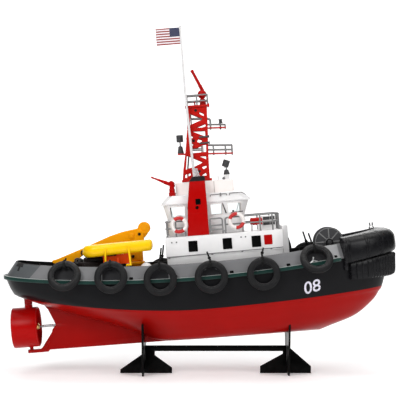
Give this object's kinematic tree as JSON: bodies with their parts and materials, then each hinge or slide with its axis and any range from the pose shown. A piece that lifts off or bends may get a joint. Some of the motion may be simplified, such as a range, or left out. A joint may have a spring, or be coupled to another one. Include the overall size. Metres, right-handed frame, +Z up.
{
  "type": "model harbour tugboat on a display stand",
  "caption": "Scale model of a harbour tug with nozzle rudder, crane, mast, fire monitors and tyre fenders, resting bow up on a black slotted display stand.",
  "frame": {"origin": "on the floor, under the middle of the whole model's box", "axes": "+X towards the bow, +Y to port, +Z up; the hull is tipped 4.3 degrees bow up on its stand"},
  "size_m": [0.6484, 0.1882, 0.5692],
  "materials": {
    "hull_paint": "red below, black above the waterline, satin gloss",
    "bulwark_grey": "dark grey outside, black deck, satin",
    "rail_green": "dark green, satin",
    "rubber": "black, dull",
    "white_plastic": "white, satin",
    "red_plastic": "bright red, satin gloss",
    "crane_yellow": "orange yellow, satin gloss",
    "boat_yellow": "yellow, glossy",
    "orange_red": "orange red, satin",
    "dark_metal": "dark grey, satin",
    "rail_grey": "grey, satin",
    "clear_glass": "clear moulded glazing",
    "brass": "polished",
    "steel": "ground",
    "stand_black": "black sheet, satin",
    "buoy": "white with red bands",
    "flag_cloth": "striped flag on a white staff"
  },
  "bodies": {
    "boat": {"stand_plate": "stand_black", "stand_cradle_aft": "stand_black", "stand_cradle_fore": "stand_black", "hull": "hull_paint", "deck_and_bulwark": "bulwark_grey", "rub_rail": "rail_green", "bow_fender_upper": "rubber", "bow_fender_lower": "rubber", "tyre_fender_port_1": "rubber", "tyre_fender_port_2": "rubber", "tyre_fender_port_3": "rubber", "tyre_fender_port_4": "rubber", "tyre_fender_port_5": "rubber", "tyre_fender_port_6": "rubber", "tyre_fender_starboard_1": "rubber", "tyre_fender_starboard_2": "rubber", "tyre_fender_starboard_3": "rubber", "tyre_fender_starboard_4": "rubber", "tyre_fender_starboard_5": "rubber", "tyre_fender_starboard_6": "rubber", "winch_frame": "dark_metal", "bow_post": "rail_grey", "towing_gear": "dark_metal", "crane_pedestal": "crane_yellow", "rescue_boat_collar": "boat_yellow", "rescue_boat_hull": "orange_red", "rescue_boat_cradle": "boat_yellow", "deckhouse": "white_plastic", "deckhouse_rail_fore": "rail_grey", "deckhouse_rail_aft": "rail_grey", "wheelhouse": "white_plastic", "wheelhouse_glass": "clear_glass", "wheelhouse_roof": "white_plastic", "liferaft_canister": "red_plastic", "funnel_port": "red_plastic", "funnel_starboard": "red_plastic", "lifebuoy_aft_port": "buoy", "lifebuoy_aft_starboard": "buoy", "lifebuoy_fore_port": "buoy", "lifebuoy_fore_starboard": "buoy", "mast_tower": "red_plastic", "mast_rail_top": "rail_grey", "mast_rail_mid": "rail_grey", "flagpole": "flag_cloth", "searchlight_mast": "dark_metal", "searchlight_roof": "dark_metal"},
    "propeller": {"propeller": "brass", "propeller_shaft": "steel"},
    "nozzle": {"steering_nozzle": "red_plastic"},
    "winch_drum": {"winch_drum": "dark_metal"},
    "crane_column": {"crane_column": "crane_yellow"},
    "crane_boom": {"crane_boom": "crane_yellow"},
    "monitor_top_swivel": {"monitor_top_post": "red_plastic"},
    "monitor_top_jet": {"monitor_top_barrel": "red_plastic"},
    "monitor_port_swivel": {"monitor_port_post": "red_plastic"},
    "monitor_port_jet": {"monitor_port_barrel": "red_plastic"},
    "monitor_starboard_swivel": {"monitor_starboard_post": "red_plastic"},
    "monitor_starboard_jet": {"monitor_starboard_barrel": "red_plastic"}
  },
  "joints": [
    {"name": "propeller_spin", "type": "hinge", "parent": "boat", "child": "propeller", "pos_m": [-0.27837, 0, 0.07592], "axis": [0.9972, 0, 0.075], "continuous": true},
    {"name": "nozzle_steer", "type": "hinge", "parent": "boat", "child": "nozzle", "pos_m": [-0.27837, 0, 0.07592], "axis": [-0.075, 0, 0.9972], "range_deg": [-35, 35]},
    {"name": "winch_drum_spin", "type": "hinge", "parent": "boat", "child": "winch_drum", "pos_m": [0.21342, 0, 0.21719], "axis": [0, 1, 0], "continuous": true},
    {"name": "crane_slew", "type": "hinge", "parent": "boat", "child": "crane_column", "pos_m": [-0.10348, 0.014, 0.18394], "axis": [-0.075, 0, 0.9972], "range_deg": [-120, 0]},
    {"name": "crane_luff", "type": "hinge", "parent": "crane_column", "child": "crane_boom", "pos_m": [-0.09854, 0.014, 0.22893], "axis": [0, 1, 0], "range_deg": [0, 75]},
    {"name": "monitor_top_turn", "type": "hinge", "parent": "boat", "child": "monitor_top_swivel", "pos_m": [0.00621, 0, 0.4469], "axis": [-0.075, 0, 0.9972], "range_deg": [-180, 25]},
    {"name": "monitor_top_lift", "type": "hinge", "parent": "monitor_top_swivel", "child": "monitor_top_jet", "pos_m": [0.00524, 0, 0.45987], "axis": [0, 1, 0], "range_deg": [-36, 9]},
    {"name": "monitor_port_turn", "type": "hinge", "parent": "boat", "child": "monitor_port_swivel", "pos_m": [-0.0434, 0.0265, 0.29175], "axis": [-0.075, 0, 0.9972], "range_deg": [-120, 30]},
    {"name": "monitor_port_lift", "type": "hinge", "parent": "monitor_port_swivel", "child": "monitor_port_jet", "pos_m": [-0.04493, 0.0265, 0.31219], "axis": [0, 1, 0], "range_deg": [-25, 45]},
    {"name": "monitor_starboard_turn", "type": "hinge", "parent": "boat", "child": "monitor_starboard_swivel", "pos_m": [-0.0434, -0.0265, 0.29175], "axis": [-0.075, 0, 0.9972], "range_deg": [-30, 120]},
    {"name": "monitor_starboard_lift", "type": "hinge", "parent": "monitor_starboard_swivel", "child": "monitor_starboard_jet", "pos_m": [-0.04493, -0.0265, 0.31219], "axis": [0, 1, 0], "range_deg": [-25, 45]}
  ]
}
